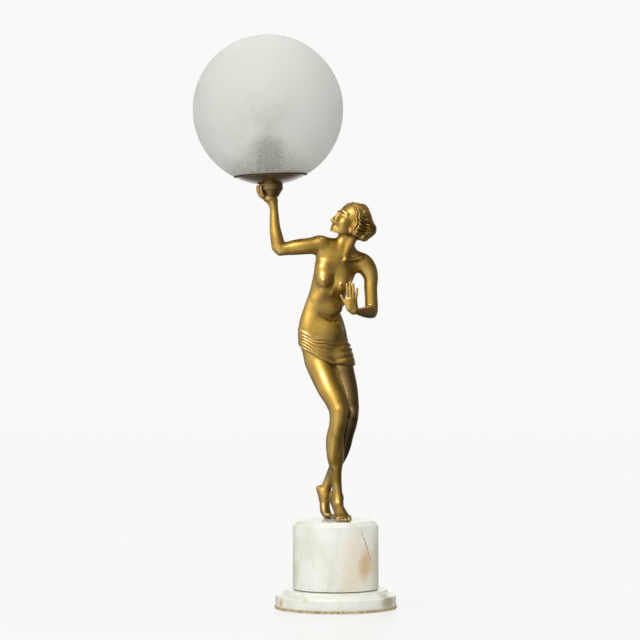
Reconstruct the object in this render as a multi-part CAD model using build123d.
from build123d import *
import math
import os

# Figural table lamp: a cast metal figure on a turned onyx base holds up a globe on a dished gallery.
# Millimetres, +Z up, the viewer at -Y. The origin is the middle of the base's underside.
# The figure's own points are measured from the top of the drum that it stands on.

# ---------------------------------------------------------------- base
PAD_RADIUS = 61.0
PAD_THICKNESS = 2.5
PLINTH_RADIUS = 60.0
PLINTH_WALL = 9.3  # height of the plain outer wall
PLINTH_EDGE = 1.2  # rounding at the top of that wall
COVE_RUN = 7.2  # the shallow cove between the wall and the upper step
COVE_RISE = 3.9
COVE_HOLLOW = 0.7
STEP_EDGE = 1.7  # rounding of the upper step
RECESS_RADIUS = 36.0
RECESS_DEPTH = 11.0
DRUM_FELT_RADIUS = 41.6
DRUM_FELT_THICKNESS = 0.8
DRUM_RADIUS = 42.8
DRUM_HEIGHT = 68.0
DRUM_CHAMFER = 4.5

# ---------------------------------------------------------------- what clamps the figure to the base
STUD_X = 6.0
STUD_Y = -10.5
STUD_RADIUS = 4.0
STUD_BORE = 2.5
STUD_IN_FOOT = 5.0
STUD_CLEARANCE = 0.6  # radial, in the stone
THREAD_CLEARANCE = 0.08  # radial, between the plain shanks and holes that stand for threads
WASHER_RADIUS = 12.0
WASHER_THICKNESS = 1.2
NUT_ACROSS_FLATS = 13.0
NUT_HEIGHT = 3.2
STUD_BELOW_NUT = 0.6
DOWEL_X = -6.0
DOWEL_Y = 22.0
DOWEL_RADIUS = 1.6
DOWEL_IN_FOOT = 3.0
DOWEL_IN_DRUM = 12.0
DOWEL_CLEARANCE = 0.1
DOWEL_END_GAP = 0.5

# ---------------------------------------------------------------- cord inlet and terminals
INLET_Z = 7.2
INLET_BORE = 2.8
INLET_SLEEVE = 3.6
INLET_FLANGE = 4.4
INLET_FLANGE_THICKNESS = 1.6
INLET_CLEARANCE = 0.1
INLET_PROTRUSION = 1.0  # into the recess
TERMINAL_WIDTH = 18.0
TERMINAL_DEPTH = 10.0
TERMINAL_HEIGHT = 7.0
TERMINAL_Y = 21.0
TERMINAL_PITCH = 9.0
TERMINAL_WIRE_HOLE = 1.3
TERMINAL_SCREW_RADIUS = 1.5
TERMINAL_SCREW_LENGTH = 2.4

# ---------------------------------------------------------------- globe and gallery, along the tilted axis
GLOBE_RADIUS = 75.0
GLOBE_WALL = 2.4
MOUTH_DEPTH = 64.9  # from the globe's centre down to its ground edge
PALM = (-64.1, -7.0, 322.5)  # the raised hand's palm, where the cup stands
GALLERY_TILT = 2.3  # degrees, the globe leaning away from the figure
SEAT_THICKNESS = 1.3
SEAT_WIDTH = 2.8
DISH_WALL = 1.2
DISH_LAND = 0.35  # upright edge of the rim
LIP_HEIGHT = 5.0
LIP_CLEARANCE = 0.8
LIP_WALL = 1.2
CUP_RADIUS = 11.9
CUP_BAND = 5.6
CUP_EDGE_RUN = 0.9
CUP_EDGE_DROP = 1.1
CUP_NECK_RADIUS = 6.8
CUP_CONE = 6.4
CUP_SEAT = 0.1  # between the cup's hollow top and the dish
CUP_SPIGOT_RADIUS = 3.4
CUP_SPIGOT_LENGTH = 3.0
NIPPLE_RADIUS = 5.0
NIPPLE_BORE = 3.2
NIPPLE_IN_CUP = 7.0
LOCKNUT_RADIUS = 9.0
LOCKNUT_HEIGHT = 3.0
HOLDER_RADIUS = 13.5
HOLDER_WALL = 1.4
HOLDER_FLOOR = 3.0
HOLDER_CAP_HEIGHT = 13.0
HOLDER_SPIGOT = 5.0
HOLDER_SPIGOT_WALL = 1.2
HOLDER_SHELL_HEIGHT = 27.0
HOLDER_TOP_WALL = 1.6
HOLDER_RIM_RADIUS = 15.5
HOLDER_RIM_HEIGHT = 3.0
INSERT_CLEARANCE = 0.1
INSERT_HEIGHT = 6.5
INSERT_LEDGE = 1.0  # the shell's inner ledge that carries the insert
CONTACT_WIDTH = 4.0
CONTACT_SPAN = 5.0
CONTACT_THICKNESS = 0.6
CONTACT_HEIGHT = 2.4
SLEEVE_WALL = 0.5
SLEEVE_HEIGHT = 19.0
CAP_CLEARANCE = 0.07  # radial, the bulb's cap in its threaded sleeve
TIP_CLEARANCE = 0.05

# ---------------------------------------------------------------- bulb, small screw cap, heights from its tip
BULB_TIP_RADIUS = 3.0
BULB_TIP_HEIGHT = 1.6
BULB_INSULATOR_TOP = 5.0
BULB_INSULATOR_RADIUS = 6.0
BULB_CAP_RADIUS = 6.9
BULB_CAP_WALL = 0.4
BULB_CAP_FLOOR = 0.8
BULB_CAP_TOP = 22.0
BULB_CAP_GAP = 0.1  # between the turning cap and the contact under it
BULB_NECK_RADIUS = 6.1
BULB_NECK_BOTTOM = 17.0
BULB_NECK_TOP = 25.0
BULB_GLASS_RADIUS = 22.5
BULB_GLASS_WALL = 0.8
BULB_BOWL_START = -50.0  # degrees below the ball's middle, where it runs into the neck's flare
BULB_LENGTH = 76.0
BULB_STEM_RADIUS = 1.6
BULB_STEM_TOP = 42.0
BULB_STEM_FLARE = 1.6
BULB_WIRE_RADIUS = 0.45
BULB_WIRE_SPREAD = 8.0
BULB_WIRE_TOP = 56.0
BULB_WIRE_ARCH = 4.0

# ---------------------------------------------------------------- lead inside the figure
LEAD_RADIUS = 1.6
LEAD_CHANNEL = 2.1  # radius of the way cored for it in the castings
CAST_WALL = 3.8
SPIGOT_LENGTH = 4.0
SPIGOT_CLEARANCE = 0.1
SPIGOT_END_GAP = 0.3
SPIGOT_ROOT = 2.0
ARM_SPIGOT_RADIUS = 5.0
BENT_ARM_SPIGOT_RADIUS = 3.6
NECK_SPIGOT_RADIUS = 4.6
LEG_SPIGOT_RADIUS = 6.5
LEG_GAP = 0.2  # between the two legs where they are pressed together

# ---------------------------------------------------------------- the figure
BODY_TURN = 22.0  # degrees, the body faces this far to the viewer's right
HEAD_TURN = 70.0  # degrees from the viewer, towards the globe
HEAD_TILT = 24.0  # degrees, the face raised to the globe
HEAD_X = 17.8
HEAD_Y = 0.5
HEAD_Z = 300.0

# A station is one elliptical section of a limb: x, y, z, half width, half depth.
# The trunk's sections also roll by so many degrees, lower on the viewer's right.
TRUNK = [
    (-13.1, 5.6, 193.5, 22.9, 14.2, 12.0),
    (-13.2, 4.0, 209.0, 18.3, 11.8, 6.0),
    (-9.4, 3.0, 223.0, 17.0, 12.2, 12.0),
    (-3.2, 2.0, 240.0, 19.6, 13.2, 18.0),
    (1.2, 2.6, 256.0, 21.0, 12.0, 22.0),
    (6.2, 4.0, 267.0, 13.5, 8.8, 20.0),
    (8.2, 4.1, 273.0, 9.0, 8.2, 17.0),
]
# The wrap's lowest and highest rows, and how many rows stand between and with them.
WRAP_HEM = (-8.7, 8.4, 163.4, 26.4, 15.9, 20.0)
WRAP_TOP = (-11.7, 6.8, 184.5, 25.4, 15.4, 17.0)
WRAP_ROWS = 11
WRAP_FOLD = 0.9  # how far a fold stands out
WRAP_PITCH = 2.1  # between the sections that the trunk is lofted through
WRAP_FLOOR = 0.4  # share of the wrap's height left solid above the hem, for the legs' spigots
LIMB_PITCH = 4.0
NECK = [
    (7.4, 4.2, 271.0, 9.4, 8.6),
    (9.4, 4.0, 277.0, 8.7, 8.3),
    (11.5, 3.6, 284.0, 8.6, 8.4),
    (15.0, 2.6, 293.0, 8.6, 9.0),
]
RAISED_ARM = [
    (4.0, 3.0, 262.0, 9.5, 9.0),
    (-9.0, 0.0, 271.0, 10.6, 10.2),
    (-17.5, -2.6, 274.4, 9.3, 9.2),
    (-24.0, -4.0, 274.0, 8.4, 8.4),
    (-35.0, -5.6, 272.6, 7.5, 7.4),
    (-46.0, -6.6, 271.2, 6.6, 6.6),
    (-55.5, -7.2, 271.0, 5.8, 6.0),
    (-59.5, -7.4, 272.4, 4.2, 4.6),
]
ARM_SEAM = 3
RAISED_FOREARM = [
    (-55.6, -7.2, 268.6, 4.6, 4.8),
    (-57.0, -7.2, 273.0, 6.2, 6.0),
    (-58.6, -7.1, 281.0, 6.5, 6.2),
    (-60.4, -7.0, 291.0, 5.5, 5.4),
    (-61.2, -7.0, 302.0, 4.7, 4.7),
    (-61.6, -7.0, 311.0, 4.1, 4.3),
    (-62.3, -7.0, 316.6, 3.9, 4.6),
    (-64.2, -7.0, 319.8, 6.2, 6.4),
    (-66.0, -7.0, 322.6, 8.0, 8.0),
]
BENT_ARM = [
    (4.0, 4.5, 264.0, 8.6, 8.4),
    (18.0, 6.4, 262.5, 9.4, 9.0),
    (29.6, 7.6, 257.4, 10.0, 9.6),
    (34.6, 7.4, 249.0, 8.4, 8.8),
    (35.2, 7.0, 243.0, 7.4, 8.0),
    (35.1, 6.4, 233.0, 6.7, 7.2),
    (35.6, 5.6, 222.0, 6.4, 6.8),
    (36.0, 4.6, 212.0, 6.3, 6.4),
    (36.4, 3.4, 206.5, 4.6, 4.8),
]
BENT_ARM_SEAM = 4
BENT_FOREARM = [
    (37.4, 5.6, 208.6, 4.8, 4.6),
    (35.4, 1.6, 208.2, 6.3, 5.7),
    (31.0, -5.6, 207.8, 5.9, 5.1),
    (26.0, -14.0, 208.0, 4.6, 4.2),
    (21.6, -21.4, 208.6, 3.5, 3.2),
    (18.6, -26.0, 210.4, 3.9, 3.0),
    (16.6, -28.0, 215.4, 5.0, 2.8),
    (15.8, -28.4, 221.8, 5.0, 2.3),
]
STANDING_LEG = [
    (-18.6, 7.5, 176.0, 14.8, 14.4),
    (-17.6, 6.0, 162.0, 14.3, 14.4),
    (-12.6, 0.5, 146.0, 12.9, 13.6),
    (-5.4, -7.6, 130.0, 12.0, 12.0),
    (-0.2, -12.0, 120.0, 10.8, 10.8),
    (2.9, -14.6, 110.0, 9.8, 10.0),
    (2.8, -15.0, 102.0, 9.0, 9.4),
    (1.2, -13.0, 92.0, 8.4, 8.8),
    (-0.8, -8.0, 80.0, 7.9, 9.0),
    (-0.5, -3.4, 65.0, 7.1, 7.8),
    (0.3, 0.6, 50.0, 5.7, 6.2),
    (1.3, 3.8, 38.0, 4.6, 5.2),
    (2.2, 5.0, 27.0, 4.6, 5.8),
    (2.6, 4.4, 19.0, 4.6, 5.8),
]
STANDING_FOOT = [
    (-2.8, 13.4, 15.6, 3.2, 2.6),
    (-1.8, 11.4, 16.0, 4.2, 4.6),
    (1.2, 4.0, 15.0, 4.7, 6.2),
    (4.0, -5.0, 9.2, 6.0, 6.4),
    (6.2, -12.5, 4.4, 8.0, 4.9),
    (7.6, -18.4, 2.6, 8.5, 3.4),
]
STANDING_TOES = [(13.2, 2.2), (9.6, 1.7), (6.4, 1.6), (3.4, 1.5), (0.8, 1.4)]
TOE_LIFT = 0.6
TOE_SLANT = 0.35  # how much shorter each toe is, by its distance from the longest
STANDING_TOE_START = -16.5
STANDING_TOE_REACH = 7.5
TRAILING_LEG = [
    (5.0, 9.5, 172.0, 13.4, 14.2),
    (5.4, 10.5, 160.0, 13.0, 13.8),
    (6.8, 9.6, 146.0, 12.2, 13.0),
    (11.0, 5.8, 130.0, 11.1, 11.8),
    (13.0, 2.4, 118.0, 10.1, 10.8),
    (14.0, 0.6, 107.0, 9.2, 9.8),
    (13.2, 1.6, 98.0, 8.4, 9.2),
    (10.2, 5.6, 86.0, 7.9, 8.8),
    (7.6, 10.4, 74.0, 7.7, 8.4),
    (3.2, 15.0, 61.0, 6.7, 7.2),
    (-2.8, 19.6, 48.0, 5.2, 5.6),
    (-7.6, 23.0, 38.0, 4.3, 4.7),
    (-10.6, 24.6, 29.0, 4.3, 4.8),
    (-11.4, 24.4, 22.0, 4.6, 4.8),
]
TRAILING_FOOT = [
    (-17.2, 26.6, 31.0, 2.6, 2.6),
    (-15.6, 26.2, 29.6, 3.9, 3.7),
    (-11.6, 25.0, 21.0, 4.7, 5.2),
    (-9.9, 23.8, 13.4, 5.4, 5.0),
    (-8.1, 22.6, 6.0, 6.6, 5.2),
    (-5.4, 21.2, 2.6, 6.8, 4.0),
]
TRAILING_TOES = [(16.4, 2.0), (19.6, 1.6), (22.4, 1.5), (24.8, 1.4), (26.8, 1.3)]
TRAILING_TOE_START = -6.0
TRAILING_TOE_REACH = 7.0
HIP_SPREAD = (-11.0, 14.5)  # the legs' spigots, along the hem from its middle
BUST = (-4.0, 2.0, 238.0, 16.0)  # a trunk section's place and roll
BREAST_SPREAD = 10.0
BREAST_FORWARD = 5.6
BREAST_RADIUS = 9.0

# Fingers of the lowered hand: base and tip, and the thumb from its root to its tip.
BENT_FINGERS = [
    ((12.2, -29.0, 222.0), (10.8, -30.0, 235.2)),
    ((14.7, -29.2, 223.0), (13.9, -30.6, 236.4)),
    ((17.2, -28.8, 222.6), (16.9, -30.2, 234.8)),
    ((19.2, -28.1, 220.6), (20.9, -28.9, 230.4)),
]
BENT_FINGER_RADIUS = 1.35
BENT_THUMB = [(15.4, -26.8, 212.6), (9.0, -27.6, 217.0), (5.4, -28.4, 223.6)]
BENT_THUMB_RADIUS = 1.6
CLASP_FINGERS = (152.0, 171.0, 189.0, 208.0, 80.0)  # degrees round the cup, the last one the thumb
CLASP_RADIUS = 1.5
CLASP_GAP = 0.2
CLASP_ROOT = 4.6  # how far below the cup the fingers start
CLASP_REACH = 2.5  # how far up the cup's band they end

# Head: a plain mannequin's, its radii along its own side, front and crown.
SKULL_RADII = (15.2, 18.4, 17.2)
JAW_RADII = (11.6, 12.4, 16.0)
JAW_FORWARD = 6.6
JAW_DROP = 7.6
NOSE_RADII = (2.3, 4.2, 5.0)
NOSE_FORWARD = 18.2
NOSE_DROP = 4.4
HAIR_RADII = (18.0, 19.0, 18.2)
HAIR_BACK = 5.0
HAIR_RISE = 3.6
HAIRLINE = 7.5  # how far forward of the head's middle the hair reaches
HAIRLINE_LEAN = (0, 1, 0.5)  # square to the hairline's own plane
CURL_RADIUS = 5.2
CURL_RING = 12.6
CURL_DROP = 11.5
CURL_ANGLES = (32.0, 61.0, 90.0, 119.0, 148.0)  # degrees round the nape

# The lead's route: in the base from the origin's own level, in the figure from the drum's top.
LEAD_STRAIGHT = 3.5  # the run square out of the terminal block
LEAD_IN_BASE = [(1.5, 4.0, 4.7), (STUD_X, STUD_Y, 4.5)]
LEAD_IN_FIGURE = [
    (STUD_X, STUD_Y, 8.0),
    (4.6, -4.5, 13.0),
    (2.4, 4.4, 22.0),
    (1.2, 3.4, 38.0),
    (-0.8, -6.4, 74.0),
    (2.6, -14.2, 106.0),
    (-10.0, -2.6, 138.0),
    (-14.0, 4.0, 168.0),
    (-13.0, 4.0, 208.0),
    (-0.5, 2.4, 252.0),
    (-12.0, -0.8, 271.6),
    (-35.0, -5.6, 272.4),
    (-56.4, -7.2, 272.0),
    (-60.4, -7.0, 292.0),
    (-61.8, -7.0, 313.0),
]
LEAD_BEND = 0.4  # a bend's radius as a share of the shorter run beside it, before its turn counts
LEAD_BEND_MOST = 60.0

# ---------------------------------------------------------------- heights that follow from these
PLINTH_BOTTOM = PAD_THICKNESS
PLINTH_WALL_TOP = PLINTH_BOTTOM + PLINTH_WALL
COVE_RADIUS_OUT = PLINTH_RADIUS - PLINTH_EDGE
COVE_RADIUS_IN = COVE_RADIUS_OUT - COVE_RUN
COVE_BOTTOM = PLINTH_WALL_TOP + PLINTH_EDGE
COVE_TOP = COVE_BOTTOM + COVE_RISE
PLINTH_TOP = COVE_TOP + STEP_EDGE
RECESS_TOP = PLINTH_BOTTOM + RECESS_DEPTH
DRUM_BOTTOM = PLINTH_TOP + DRUM_FELT_THICKNESS
DRUM_TOP = DRUM_BOTTOM + DRUM_HEIGHT
NUT_TOP = RECESS_TOP - WASHER_THICKNESS
NUT_BOTTOM = NUT_TOP - NUT_HEIGHT
STUD_BOTTOM = NUT_BOTTOM - STUD_BELOW_NUT
STUD_TOP = DRUM_TOP + STUD_IN_FOOT
STONE_HOLE = STUD_RADIUS + STUD_CLEARANCE
TERMINAL_BOTTOM = RECESS_TOP - TERMINAL_HEIGHT

RIM = -MOUTH_DEPTH - SEAT_THICKNESS
DISH_BOTTOM = -math.sqrt(GLOBE_RADIUS**2 - CUP_RADIUS**2)
CUP_BAND_BOTTOM = DISH_BOTTOM - CUP_BAND
CUP_BOTTOM = CUP_BAND_BOTTOM - CUP_EDGE_DROP - CUP_CONE
NUT_SEAT = -math.sqrt((GLOBE_RADIUS - DISH_WALL) ** 2 - LOCKNUT_RADIUS**2)
HOLDER_BOTTOM = NUT_SEAT + LOCKNUT_HEIGHT
HOLDER_JOINT = HOLDER_BOTTOM + HOLDER_CAP_HEIGHT
HOLDER_TOP = HOLDER_JOINT + HOLDER_SHELL_HEIGHT
INSERT_BOTTOM = HOLDER_JOINT + INSERT_LEDGE
INSERT_TOP = INSERT_BOTTOM + INSERT_HEIGHT
CONTACT_TOP = INSERT_TOP + CONTACT_HEIGHT
BULB_TIP = CONTACT_TOP + TIP_CLEARANCE
SLEEVE_BORE = BULB_CAP_RADIUS + CAP_CLEARANCE
HOLDER_BORE = HOLDER_RADIUS - HOLDER_WALL
NIPPLE_BOTTOM = -math.sqrt(GLOBE_RADIUS**2 - NIPPLE_RADIUS**2) - NIPPLE_IN_CUP
NIPPLE_TOP = HOLDER_BOTTOM + HOLDER_FLOOR
TIGHT_HOLE = NIPPLE_RADIUS + THREAD_CLEARANCE

UP = Vector(0, 0, 1)
RIGHT = Vector(1, 0, 0)
BODY_SIDE = Vector(math.cos(math.radians(BODY_TURN)), math.sin(math.radians(BODY_TURN)), 0)
BODY_FRONT = BODY_SIDE.cross(UP)
BENT_SIDE = Vector(0.6, 0, 1)  # across the lowered arm's sections, from the shoulder to the elbow
BENT_FOREARM_SIDE = Vector(0.4, 0, 1)
TRAILING_FOOT_SIDE = Vector(0.35, 0.94, 0)


# ---------------------------------------------------------------- frames
def on_drum(point):
    """A point of the figure, whose height counts from the top of the drum."""
    x, y, z = point
    return Vector(x, y, DRUM_TOP + z)


def gallery_plane():
    """The globe's centre, with the tilted axis that the globe, dish, cup and bulb share."""
    lean = math.radians(GALLERY_TILT)
    axis = Vector(-math.sin(lean), 0, math.cos(lean))
    centre = on_drum(PALM) - axis * CUP_BOTTOM
    return Plane(centre, x_dir=(math.cos(lean), 0, math.sin(lean)), z_dir=axis)


def head_plane():
    """The middle of the head: x to its side, y the way the face looks, z through its crown."""
    turn = math.radians(HEAD_TURN)
    tilt = math.radians(HEAD_TILT)
    level = Vector(-math.sin(turn), -math.cos(turn), 0)
    facing = level * math.cos(tilt) + UP * math.sin(tilt)
    crown = UP * math.cos(tilt) - level * math.sin(tilt)
    return Plane(on_drum((HEAD_X, HEAD_Y, HEAD_Z)), x_dir=facing.cross(crown), z_dir=crown)


def rolled(point, roll):
    """A trunk section's plane: square to the body, lower on the viewer's right by the roll."""
    angle = math.radians(roll)
    across = BODY_SIDE * math.cos(angle) - UP * math.sin(angle)
    return Plane(on_drum(point), x_dir=across, z_dir=BODY_FRONT.cross(across))


def seam(stations, index):
    """The plane of one station of a limb, square to the line through its neighbours."""
    before = on_drum(stations[index - 1][:3])
    after = on_drum(stations[index + 1][:3])
    return Plane(on_drum(stations[index][:3]), z_dir=after - before)


GALLERY = gallery_plane()
HEAD = head_plane()
HEM = rolled(WRAP_HEM[:3], WRAP_HEM[5])
ARM_JOINT = seam(RAISED_ARM, ARM_SEAM)
BENT_ARM_JOINT = seam(BENT_ARM, BENT_ARM_SEAM)
NECK_JOINT = seam(NECK, 1)


# ---------------------------------------------------------------- shapes used again and again
def pillar(radius, bottom, top):
    """A plain cylinder about +Z between two heights."""
    return Pos(0, 0, bottom) * Cylinder(radius, top - bottom, align=(Align.CENTER, Align.CENTER, Align.MIN))


def tube(outer, inner, bottom, top):
    """A plain ring about +Z between two heights."""
    return pillar(outer, bottom, top) - pillar(inner, bottom, top)


def turned(*lines):
    """A solid turned about +Z from the lines and arcs of its half outline in (radius, height)."""
    return revolve(Plane.XZ * make_face(Curve() + lines), Axis.Z)


def hermite(low, high, slope_low, slope_high, share):
    """A smooth value between two stations, from their own values and slopes."""
    rise = share * share * (3 - 2 * share)
    leave = share * (1 - share) ** 2
    arrive = share * share * (share - 1)
    return low + (high - low) * rise + slope_low * leave + slope_high * arrive


def evenly(stations, pitch):
    """The same run of stations, smoothed and evenly spaced, which a loft follows without bulging."""
    run = [0.0]
    for start, end in zip(stations, stations[1:]):
        run.append(run[-1] + math.dist(start[:3], end[:3]))
    last = len(stations) - 1
    count = max(2, round(run[-1] / pitch))
    rows = []
    for i in range(count + 1):
        at = run[-1] * i / count
        k = 0
        while k < last - 1 and run[k + 1] < at:
            k += 1
        step = run[k + 1] - run[k]
        row = []
        for column in zip(*stations):
            slopes = []
            for j in (k, k + 1):
                before, after = max(j - 1, 0), min(j + 1, last)
                slopes.append(step * (column[after] - column[before]) / (run[after] - run[before]))
            row.append(hermite(column[k], column[k + 1], *slopes, (at - run[k]) / step))
        rows.append(tuple(row))
    return rows


def limb(outline, side, grown=0.0):
    """A limb lofted through elliptical sections, each square to the line of their centres."""
    stations = evenly(outline, LIMB_PITCH)
    middles = [on_drum(station[:3]) for station in stations]
    sections = []
    for i, (x, y, z, wide, deep) in enumerate(stations):
        after = middles[min(i + 1, len(middles) - 1)]
        before = middles[max(i - 1, 0)]
        along = (after - before).normalized()
        across = side - along * side.dot(along)
        plane = Plane(middles[i], x_dir=across, z_dir=along)
        sections.append(plane * Ellipse(wide + grown, deep + grown))
    return loft(sections)


def rod(points, radius):
    """A round-ended rod from joint to joint, as a finger or toe."""
    shape = Pos(*points[0]) * Sphere(radius)
    for start, end in zip(points, points[1:]):
        straight = Cylinder(radius, (end - start).length, align=(Align.CENTER, Align.CENTER, Align.MIN))
        shape += Plane(start, z_dir=end - start) * straight
        shape += Pos(*end) * Sphere(radius)
    return shape


def egg(radii):
    """An ellipsoid about the origin."""
    return scale(Sphere(1), by=radii)


def above_drum(shape):
    """The part of a foot that stands on the drum, its sole cut flat."""
    return split(shape, bisect_by=Plane((0, 0, DRUM_TOP)), keep=Keep.TOP)


# ---------------------------------------------------------------- the lead and the way cored for it
def lead_in_base():
    block_face = TERMINAL_Y - TERMINAL_DEPTH / 2
    block_middle = TERMINAL_BOTTOM + TERMINAL_HEIGHT / 2
    points = [Vector(0, block_face, block_middle), Vector(0, block_face - LEAD_STRAIGHT, block_middle)]
    return points + [Vector(*point) for point in LEAD_IN_BASE]


def lead_in_figure():
    points = [on_drum(point) for point in LEAD_IN_FIGURE]
    return points + [GALLERY.from_local_coords((0, 0, height)) for height in (CUP_BOTTOM, INSERT_BOTTOM)]


def lead_path(points):
    """Straight runs joined by arcs as large as the runs allow, or as the room under the stud does."""
    radii = []
    for before, corner, after in zip(points, points[1:], points[2:]):
        turn = math.radians((corner - before).get_angle(after - corner))
        shorter = min((corner - before).length, (after - corner).length)
        most = STUD_BOTTOM - corner.Z if corner.Z < STUD_BOTTOM else LEAD_BEND_MOST
        radii.append(min(LEAD_BEND * shorter / math.tan(turn / 2), most))
    return FilletPolyline(*points, radius=radii), radii


def along_path(path, radius):
    return sweep(Plane(path @ 0, z_dir=path % 0) * Circle(radius), path=path)


def internal_lead():
    path, radii = lead_path(lead_in_base() + lead_in_figure())
    print("lead bends", [round(r, 1) for r in radii])
    return along_path(path, LEAD_RADIUS)


def channel():
    """The cored way through the castings: the same route, starting in the foot's threaded hole."""
    path, radii = lead_path(lead_in_base()[-1:] + lead_in_figure())
    return along_path(path, LEAD_CHANNEL)


# ---------------------------------------------------------------- base pieces
def base_pad():
    return pillar(PAD_RADIUS, 0, PAD_THICKNESS)


def plinth():
    edge = RadiusArc((PLINTH_RADIUS, PLINTH_WALL_TOP), (COVE_RADIUS_OUT, COVE_BOTTOM), -PLINTH_EDGE)
    middle_r = (COVE_RADIUS_OUT + COVE_RADIUS_IN) / 2 - COVE_HOLLOW * COVE_RISE / COVE_RUN
    middle_z = (COVE_BOTTOM + COVE_TOP) / 2 - COVE_HOLLOW
    cove = ThreePointArc((COVE_RADIUS_OUT, COVE_BOTTOM), (middle_r, middle_z), (COVE_RADIUS_IN, COVE_TOP))
    step_r = COVE_RADIUS_IN - STEP_EDGE
    step = RadiusArc((COVE_RADIUS_IN, COVE_TOP), (step_r, PLINTH_TOP), -STEP_EDGE)
    inside = Polyline(
        (step_r, PLINTH_TOP),
        (0, PLINTH_TOP),
        (0, RECESS_TOP),
        (RECESS_RADIUS, RECESS_TOP),
        (RECESS_RADIUS, PLINTH_BOTTOM),
        (PLINTH_RADIUS, PLINTH_BOTTOM),
        (PLINTH_RADIUS, PLINTH_WALL_TOP),
    )
    body = turned(edge, cove, step, inside)
    body -= Pos(STUD_X, STUD_Y, 0) * pillar(STONE_HOLE, RECESS_TOP, PLINTH_TOP)
    return body - inlet_rod(INLET_SLEEVE + INLET_CLEARANCE, 0, PLINTH_RADIUS)


def inlet_rod(radius, start, end):
    """A rod along the cord inlet, between two distances behind the lamp's middle."""
    plane = Plane((0, start, INLET_Z), z_dir=(0, 1, 0))
    return plane * Cylinder(radius, end - start, align=(Align.CENTER, Align.CENTER, Align.MIN))


def cord_inlet():
    inner = RECESS_RADIUS - INLET_PROTRUSION
    outer = PLINTH_RADIUS + INLET_FLANGE_THICKNESS
    bush = inlet_rod(INLET_SLEEVE, inner, PLINTH_RADIUS) + inlet_rod(INLET_FLANGE, PLINTH_RADIUS, outer)
    return bush - inlet_rod(INLET_BORE, inner, outer)


def drum_felt():
    felt = pillar(DRUM_FELT_RADIUS, PLINTH_TOP, DRUM_BOTTOM)
    return felt - Pos(STUD_X, STUD_Y, 0) * pillar(STONE_HOLE, PLINTH_TOP, DRUM_BOTTOM)


def drum():
    body = pillar(DRUM_RADIUS, DRUM_BOTTOM, DRUM_TOP)
    body = chamfer(body.edges().group_by(Axis.Z)[-1], DRUM_CHAMFER)
    body -= Pos(STUD_X, STUD_Y, 0) * pillar(STONE_HOLE, DRUM_BOTTOM, DRUM_TOP)
    hole_bottom = DRUM_TOP - DOWEL_IN_DRUM - DOWEL_END_GAP
    return body - Pos(DOWEL_X, DOWEL_Y, 0) * pillar(DOWEL_RADIUS + DOWEL_CLEARANCE, hole_bottom, DRUM_TOP)


def clamp_stud():
    return Pos(STUD_X, STUD_Y, 0) * tube(STUD_RADIUS, STUD_BORE, STUD_BOTTOM, STUD_TOP)


def clamp_washer():
    hole = STUD_RADIUS + THREAD_CLEARANCE
    return Pos(STUD_X, STUD_Y, 0) * tube(WASHER_RADIUS, hole, NUT_TOP, RECESS_TOP)


def clamp_nut():
    hexagon = extrude(RegularPolygon(NUT_ACROSS_FLATS / 2, 6, major_radius=False), NUT_HEIGHT)
    hole = pillar(STUD_RADIUS + THREAD_CLEARANCE, 0, NUT_HEIGHT)
    return Pos(STUD_X, STUD_Y, NUT_BOTTOM) * (hexagon - hole)


def toe_dowel():
    return Pos(DOWEL_X, DOWEL_Y, 0) * pillar(DOWEL_RADIUS, DRUM_TOP - DOWEL_IN_DRUM, DRUM_TOP + DOWEL_IN_FOOT)


def terminal_places():
    return [(side * TERMINAL_PITCH / 2, TERMINAL_Y) for side in (-1, 1)]


def terminal_block():
    middle = (0, TERMINAL_Y, TERMINAL_BOTTOM + TERMINAL_HEIGHT / 2)
    block = Pos(*middle) * Box(TERMINAL_WIDTH, TERMINAL_DEPTH, TERMINAL_HEIGHT)
    for x, y in terminal_places():
        block -= Plane((x, y, middle[2]), z_dir=(0, 1, 0)) * Cylinder(TERMINAL_WIRE_HOLE, TERMINAL_DEPTH)
        hole = TERMINAL_SCREW_RADIUS + THREAD_CLEARANCE
        block -= Pos(x, y, 0) * pillar(hole, TERMINAL_BOTTOM, middle[2])
    return block


def terminal_screws():
    screws = []
    for x, y in terminal_places():
        top = TERMINAL_BOTTOM + TERMINAL_SCREW_LENGTH
        screws.append(Pos(x, y, 0) * pillar(TERMINAL_SCREW_RADIUS, TERMINAL_BOTTOM, top))
    return Compound(screws)


# ---------------------------------------------------------------- gallery, lampholder and globe
def sphere_height(radius, distance):
    """How far below its centre a sphere's surface lies at a distance from its axis."""
    return -math.sqrt(radius**2 - distance**2)


def gallery_dish():
    rim_radius = math.sqrt(GLOBE_RADIUS**2 - (RIM - DISH_LAND) ** 2)
    inner = GLOBE_RADIUS - DISH_WALL
    lip_out = math.sqrt((GLOBE_RADIUS - GLOBE_WALL) ** 2 - MOUTH_DEPTH**2) - LIP_CLEARANCE
    lip_in = lip_out - LIP_WALL
    half_out = (TIGHT_HOLE + rim_radius) / 2
    half_in = (TIGHT_HOLE + lip_in) / 2
    hole_out = (TIGHT_HOLE, sphere_height(GLOBE_RADIUS, TIGHT_HOLE))
    hole_in = (TIGHT_HOLE, sphere_height(inner, TIGHT_HOLE))
    rim_edge = (rim_radius, RIM - DISH_LAND)
    outside = ThreePointArc(hole_out, (half_out, sphere_height(GLOBE_RADIUS, half_out)), rim_edge)
    lip_foot = (lip_in, sphere_height(inner, lip_in))
    inside = ThreePointArc(lip_foot, (half_in, sphere_height(inner, half_in)), hole_in)
    lip_top = RIM + LIP_HEIGHT
    land = (lip_out, RIM)
    rim = Polyline(rim_edge, (rim_radius, RIM), land, (lip_out, lip_top), (lip_in, lip_top), lip_foot)
    return GALLERY * turned(outside, rim, inside, Line(hole_in, hole_out))


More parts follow.
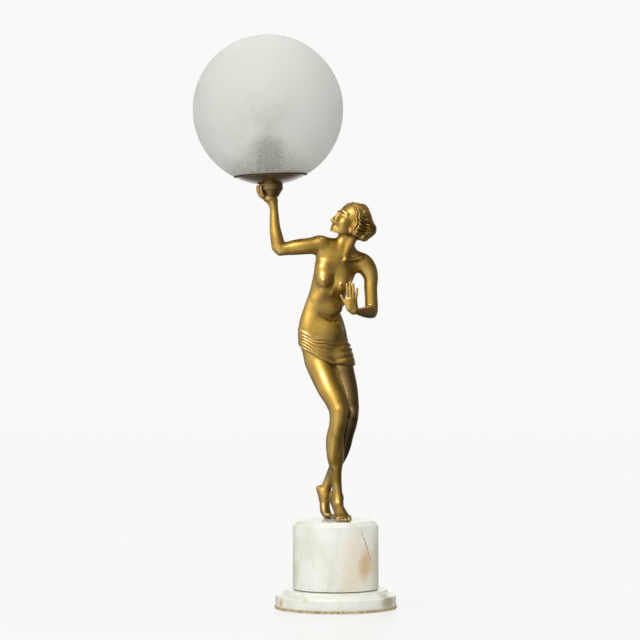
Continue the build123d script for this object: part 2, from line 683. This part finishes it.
def globe_seat():
    outer = math.sqrt(GLOBE_RADIUS**2 - (RIM + SEAT_THICKNESS / 2) ** 2)
    return GALLERY * tube(outer, outer - SEAT_WIDTH, RIM, RIM + SEAT_THICKNESS)


def gallery_cup():
    top = sphere_height(GLOBE_RADIUS, 0) + CUP_RADIUS
    edge_radius = CUP_RADIUS - CUP_EDGE_RUN
    cone_top = CUP_BAND_BOTTOM - CUP_EDGE_DROP
    outline = Polyline(
        (0, top),
        (CUP_RADIUS, top),
        (CUP_RADIUS, CUP_BAND_BOTTOM),
        (edge_radius, cone_top),
        (CUP_NECK_RADIUS, CUP_BOTTOM),
        (CUP_SPIGOT_RADIUS, CUP_BOTTOM),
        (CUP_SPIGOT_RADIUS, CUP_BOTTOM - CUP_SPIGOT_LENGTH),
        (0, CUP_BOTTOM - CUP_SPIGOT_LENGTH),
        (0, top),
    )
    cup = turned(outline) - Sphere(GLOBE_RADIUS + CUP_SEAT)
    cup -= pillar(TIGHT_HOLE, NIPPLE_BOTTOM, top)
    return GALLERY * cup - channel()


def gallery_nipple():
    return GALLERY * tube(NIPPLE_RADIUS, NIPPLE_BORE, NIPPLE_BOTTOM, NIPPLE_TOP)


def gallery_locknut():
    outside = extrude(RegularPolygon(LOCKNUT_RADIUS, 6), LOCKNUT_HEIGHT)
    return GALLERY * Pos(0, 0, NUT_SEAT) * (outside - pillar(TIGHT_HOLE, 0, LOCKNUT_HEIGHT))


def holder_cap():
    cap = tube(HOLDER_RADIUS, HOLDER_BORE, HOLDER_BOTTOM, HOLDER_JOINT)
    cap += tube(HOLDER_RADIUS, TIGHT_HOLE, HOLDER_BOTTOM, HOLDER_BOTTOM + HOLDER_FLOOR)
    return GALLERY * cap


def holder_shell():
    spigot_out = HOLDER_BORE - THREAD_CLEARANCE
    spigot_in = spigot_out - HOLDER_SPIGOT_WALL
    shell = tube(HOLDER_RADIUS, HOLDER_BORE, HOLDER_JOINT, HOLDER_TOP)
    shell += tube(spigot_out, spigot_in, HOLDER_JOINT - HOLDER_SPIGOT, INSERT_BOTTOM)
    shell += tube(HOLDER_RADIUS, spigot_in, HOLDER_JOINT, INSERT_BOTTOM)
    shell += tube(HOLDER_RIM_RADIUS, HOLDER_BORE, HOLDER_TOP - HOLDER_RIM_HEIGHT, HOLDER_TOP)
    sleeve_out = SLEEVE_BORE + SLEEVE_WALL + INSERT_CLEARANCE
    shell += tube(HOLDER_RIM_RADIUS, sleeve_out, HOLDER_TOP - HOLDER_TOP_WALL, HOLDER_TOP)
    return GALLERY * shell


def holder_insert():
    return GALLERY * pillar(HOLDER_BORE - INSERT_CLEARANCE, INSERT_BOTTOM, INSERT_TOP)


def threaded_sleeve():
    return GALLERY * tube(SLEEVE_BORE + SLEEVE_WALL, SLEEVE_BORE, INSERT_TOP, INSERT_TOP + SLEEVE_HEIGHT)


def centre_contact():
    foot = Box(CONTACT_THICKNESS, CONTACT_WIDTH, CONTACT_HEIGHT, align=(Align.MIN, Align.CENTER, Align.MIN))
    bridge = Box(CONTACT_SPAN, CONTACT_WIDTH, CONTACT_THICKNESS, align=(Align.MIN, Align.CENTER, Align.MAX))
    strip = foot + Pos(0, 0, CONTACT_HEIGHT) * bridge
    return GALLERY * Pos(-CONTACT_SPAN / 2, 0, INSERT_TOP) * strip


def globe():
    inner = GLOBE_RADIUS - GLOBE_WALL
    shell = Sphere(GLOBE_RADIUS) - Sphere(inner)
    return GALLERY * split(shell, bisect_by=Plane((0, 0, -MOUTH_DEPTH)), keep=Keep.TOP)


# ---------------------------------------------------------------- bulb
def at_bulb(shape):
    """A shape of the bulb, its heights counted from the bulb's tip."""
    return GALLERY * Pos(0, 0, BULB_TIP) * shape


def bulb_contact():
    return at_bulb(pillar(BULB_TIP_RADIUS, 0, BULB_TIP_HEIGHT))


def bulb_insulator():
    bottom = BULB_TIP_HEIGHT
    outline = Polyline(
        (0, bottom),
        (BULB_TIP_RADIUS, bottom),
        (BULB_INSULATOR_RADIUS, BULB_INSULATOR_TOP),
        (0, BULB_INSULATOR_TOP),
        (0, bottom),
    )
    return at_bulb(turned(outline))


def bulb_cap():
    bottom = BULB_INSULATOR_TOP + BULB_CAP_GAP
    inner = BULB_CAP_RADIUS - BULB_CAP_WALL
    cap = tube(BULB_CAP_RADIUS, inner, bottom, BULB_CAP_TOP)
    return at_bulb(cap + pillar(BULB_CAP_RADIUS, bottom, bottom + BULB_CAP_FLOOR))


def glass_outline(shrink):
    """Half the bulb's glass in (radius, height), inside its outer skin by shrink: neck, then ball."""
    neck = BULB_NECK_RADIUS - shrink
    ball = BULB_GLASS_RADIUS - shrink
    middle = BULB_LENGTH - BULB_GLASS_RADIUS
    low = math.radians(BULB_BOWL_START)
    join = (ball * math.cos(low), middle + ball * math.sin(low))
    tangent = (-math.sin(low), math.cos(low))
    flare = Spline((neck, BULB_NECK_TOP), join, tangents=((0, 1), tangent))
    bowl = ThreePointArc(join, (ball, middle), (0, middle + ball))
    axis = Line((0, middle + ball), (0, BULB_NECK_BOTTOM))
    foot = Line((0, BULB_NECK_BOTTOM), (neck, BULB_NECK_BOTTOM))
    return Line((neck, BULB_NECK_BOTTOM), (neck, BULB_NECK_TOP)), flare, bowl, axis, foot


def bulb_glass():
    return at_bulb(turned(*glass_outline(0)) - turned(*glass_outline(BULB_GLASS_WALL)))


def bulb_stem():
    flare = pillar(BULB_NECK_RADIUS - BULB_GLASS_WALL, BULB_NECK_BOTTOM, BULB_NECK_BOTTOM + BULB_STEM_FLARE)
    return at_bulb(flare + pillar(BULB_STEM_RADIUS, BULB_NECK_BOTTOM, BULB_STEM_TOP))


def bulb_filament():
    """Two wires out of the stem's top and the filament arched between them."""
    side = BULB_WIRE_SPREAD
    start = BULB_STEM_TOP - BULB_STEM_RADIUS
    legs = [(x, BULB_WIRE_TOP) for x in (-side, side)]
    wires = []
    for (x, top), inner in zip(legs, (-BULB_WIRE_RADIUS, BULB_WIRE_RADIUS)):
        begin = Vector(inner + math.copysign(BULB_STEM_RADIUS, x), 0, start)
        wires.append(rod([begin, Vector(x, 0, top)], BULB_WIRE_RADIUS))
    peak = BULB_WIRE_TOP + BULB_WIRE_ARCH
    arch = ThreePointArc((-side, 0, BULB_WIRE_TOP), (0, 0, peak), (side, 0, BULB_WIRE_TOP))
    return at_bulb(wires[0] + wires[1] + along_path(arch, BULB_WIRE_RADIUS))


# ---------------------------------------------------------------- the figure's castings
def wrap_row(share):
    """A section of the wrap, at a share of the way from its hem up to its top."""
    return tuple(low + (high - low) * share for low, high in zip(WRAP_HEM, WRAP_TOP))


def trunk_rows():
    """The trunk's sections from the hem up: the wrap's folded rows, then the bare body."""
    rows = []
    for row in range(WRAP_ROWS):
        x, y, z, wide, deep, roll = wrap_row(row / (WRAP_ROWS - 1))
        fold = 0.0 if row % 2 else WRAP_FOLD
        rows.append((x, y, z, wide + fold, deep + fold, roll))
    return rows + TRUNK


def trunk(rows, pitch, shrink=0.0):
    sections = []
    for x, y, z, wide, deep, roll in evenly(rows, pitch):
        sections.append(rolled((x, y, z), roll) * Ellipse(wide - shrink, deep - shrink))
    return loft(sections)


def raised_limb():
    return limb(RAISED_ARM, UP)


def bent_limb():
    return limb(BENT_ARM, BENT_SIDE)


def hip_joint(index):
    """A point of the hem's plane, over the middle of one leg."""
    return HEM * Pos(HIP_SPREAD[index], 0, 0)


def figure_torso():
    shape = trunk(trunk_rows(), WRAP_PITCH)
    shape += split(raised_limb(), bisect_by=ARM_JOINT, keep=Keep.BOTTOM)
    shape += split(bent_limb(), bisect_by=BENT_ARM_JOINT, keep=Keep.BOTTOM)
    shape += split(limb(NECK, BODY_SIDE), bisect_by=NECK_JOINT, keep=Keep.BOTTOM)
    for side in (-BREAST_SPREAD, BREAST_SPREAD):
        shape += rolled(BUST[:3], BUST[3]) * Pos(side, -BREAST_FORWARD, 0) * Sphere(BREAST_RADIUS)
    shape -= trunk([wrap_row(WRAP_FLOOR)] + TRUNK, LIMB_PITCH, CAST_WALL)
    shape -= socket(ARM_JOINT, ARM_SPIGOT_RADIUS)
    shape -= socket(BENT_ARM_JOINT, BENT_ARM_SPIGOT_RADIUS)
    shape -= socket(NECK_JOINT, NECK_SPIGOT_RADIUS)
    hip_hole = pillar(LEG_SPIGOT_RADIUS + SPIGOT_CLEARANCE, 0, SPIGOT_LENGTH + SPIGOT_END_GAP)
    for index in range(len(HIP_SPREAD)):
        shape -= hip_joint(index) * hip_hole
    return shape - channel()


def socket(joint, radius):
    """The blind hole that a limb's spigot goes into, from the joint back into the torso."""
    return joint * pillar(radius + SPIGOT_CLEARANCE, -SPIGOT_LENGTH - SPIGOT_END_GAP, 0)


def spigot(joint, radius):
    """A limb's round peg, rooted a little way inside the limb."""
    return joint * pillar(radius, -SPIGOT_LENGTH, SPIGOT_ROOT)


def clasp_finger(angle):
    """A finger of the raised hand, laid along the cup from the palm to the cup's upright band."""
    reach = CLASP_RADIUS + CLASP_GAP
    cone = math.atan2(CUP_RADIUS - CUP_EDGE_RUN - CUP_NECK_RADIUS, CUP_CONE)
    low = (CUP_NECK_RADIUS + reach * math.cos(cone), CUP_BOTTOM - reach * math.sin(cone))
    cone_top = CUP_BAND_BOTTOM - CUP_EDGE_DROP
    edge = (CUP_RADIUS - CUP_EDGE_RUN + reach * math.cos(cone), cone_top - reach * math.sin(cone))
    band = (CUP_RADIUS + reach, CUP_BAND_BOTTOM)
    tip = (CUP_RADIUS + reach, CUP_BAND_BOTTOM + CLASP_REACH)
    root = (CUP_SPIGOT_RADIUS, CUP_BOTTOM - CLASP_ROOT)
    turn = math.radians(angle)
    points = []
    for radius, height in (root, low, edge, band, tip):
        points.append(GALLERY.from_local_coords((radius * math.cos(turn), radius * math.sin(turn), height)))
    return rod(points, CLASP_RADIUS)


def raised_arm():
    shape = split(raised_limb(), bisect_by=ARM_JOINT, keep=Keep.TOP)
    shape += limb(RAISED_FOREARM, RIGHT)
    palm_top = Plane(GALLERY.from_local_coords((0, 0, CUP_BOTTOM)), z_dir=GALLERY.z_dir)
    shape = split(shape, bisect_by=palm_top, keep=Keep.BOTTOM)
    for angle in CLASP_FINGERS:
        shape += clasp_finger(angle)
    shape += spigot(ARM_JOINT, ARM_SPIGOT_RADIUS)
    hole_bottom = CUP_BOTTOM - CUP_SPIGOT_LENGTH - SPIGOT_END_GAP
    shape -= GALLERY * pillar(CUP_SPIGOT_RADIUS + SPIGOT_CLEARANCE, hole_bottom, CUP_BOTTOM)
    return shape - channel()


def bent_arm():
    shape = split(bent_limb(), bisect_by=BENT_ARM_JOINT, keep=Keep.TOP)
    shape += limb(BENT_FOREARM, BENT_FOREARM_SIDE)
    for base, tip in BENT_FINGERS:
        shape += rod([on_drum(base), on_drum(tip)], BENT_FINGER_RADIUS)
    shape += rod([on_drum(point) for point in BENT_THUMB], BENT_THUMB_RADIUS)
    return shape + spigot(BENT_ARM_JOINT, BENT_ARM_SPIGOT_RADIUS)


def figure_head():
    skull = egg(SKULL_RADII)
    skull += Pos(0, JAW_FORWARD, -JAW_DROP) * egg(JAW_RADII)
    skull += Pos(0, NOSE_FORWARD, -NOSE_DROP) * egg(NOSE_RADII)
    hair = Pos(0, -HAIR_BACK, HAIR_RISE) * egg(HAIR_RADII)
    skull += split(hair, bisect_by=Plane((0, HAIRLINE, 0), z_dir=HAIRLINE_LEAN), keep=Keep.BOTTOM)
    for angle in CURL_ANGLES:
        turn = math.radians(-angle)
        skull += Pos(CURL_RING * math.cos(turn), CURL_RING * math.sin(turn), -CURL_DROP) * Sphere(CURL_RADIUS)
    shape = HEAD * skull
    shape += split(limb(NECK, BODY_SIDE), bisect_by=NECK_JOINT, keep=Keep.TOP)
    return shape + spigot(NECK_JOINT, NECK_SPIGOT_RADIUS)


def standing_limb(grown=0.0):
    """The leg that carries the figure, from the hem to the heel, without its toes."""
    return split(limb(STANDING_LEG, BODY_SIDE, grown), bisect_by=HEM, keep=Keep.BOTTOM)


def standing_leg():
    shape = standing_limb() + limb(STANDING_FOOT, BODY_SIDE)
    for place, radius in STANDING_TOES:
        short = abs(place - STANDING_TOES[1][0]) * TOE_SLANT
        start = on_drum((place, STANDING_TOE_START, radius + TOE_LIFT))
        tip = on_drum((place, STANDING_TOE_START - STANDING_TOE_REACH + short, radius))
        shape += rod([start, tip], radius)
    shape = above_drum(shape) + hip_joint(0) * pillar(LEG_SPIGOT_RADIUS, -SPIGOT_ROOT, SPIGOT_LENGTH)
    stud_hole = pillar(STUD_RADIUS + THREAD_CLEARANCE, DRUM_TOP, STUD_TOP + SPIGOT_END_GAP)
    return shape - Pos(STUD_X, STUD_Y, 0) * stud_hole - channel()


def trailing_leg():
    leg = split(limb(TRAILING_LEG, BODY_SIDE), bisect_by=HEM, keep=Keep.BOTTOM)
    shape = leg - standing_limb(LEG_GAP) + limb(TRAILING_FOOT, TRAILING_FOOT_SIDE)
    for place, radius in TRAILING_TOES:
        short = abs(place - TRAILING_TOES[1][0]) * TOE_SLANT
        start = on_drum((TRAILING_TOE_START, place, radius + TOE_LIFT))
        tip = on_drum((TRAILING_TOE_START + TRAILING_TOE_REACH - short, place, radius))
        shape += rod([start, tip], radius)
    shape = above_drum(shape) + hip_joint(1) * pillar(LEG_SPIGOT_RADIUS, -SPIGOT_ROOT, SPIGOT_LENGTH)
    hole = pillar(DOWEL_RADIUS + DOWEL_CLEARANCE, DRUM_TOP, DRUM_TOP + DOWEL_IN_FOOT + DOWEL_END_GAP)
    return shape - Pos(DOWEL_X, DOWEL_Y, 0) * hole


NODES = {
    "base_pad": base_pad,
    "plinth": plinth,
    "cord_inlet": cord_inlet,
    "drum_felt": drum_felt,
    "drum": drum,
    "clamp_stud": clamp_stud,
    "clamp_washer": clamp_washer,
    "clamp_nut": clamp_nut,
    "toe_dowel": toe_dowel,
    "terminal_block": terminal_block,
    "terminal_screws": terminal_screws,
    "internal_lead": internal_lead,
    "gallery_dish": gallery_dish,
    "globe_seat": globe_seat,
    "gallery_cup": gallery_cup,
    "gallery_nipple": gallery_nipple,
    "gallery_locknut": gallery_locknut,
    "holder_cap": holder_cap,
    "holder_shell": holder_shell,
    "holder_insert": holder_insert,
    "threaded_sleeve": threaded_sleeve,
    "centre_contact": centre_contact,
    "globe": globe,
    "bulb_contact": bulb_contact,
    "bulb_insulator": bulb_insulator,
    "bulb_cap": bulb_cap,
    "bulb_glass": bulb_glass,
    "bulb_stem": bulb_stem,
    "bulb_filament": bulb_filament,
    "figure_torso": figure_torso,
    "figure_head": figure_head,
    "raised_arm": raised_arm,
    "bent_arm": bent_arm,
    "standing_leg": standing_leg,
    "trailing_leg": trailing_leg,
}

os.makedirs("parts", exist_ok=True)
for name, make in NODES.items():
    shape = make()
    export_step(shape, f"parts/{name}.step")
    print(name, len(shape.solids()), round(shape.volume, 1), shape.is_valid)
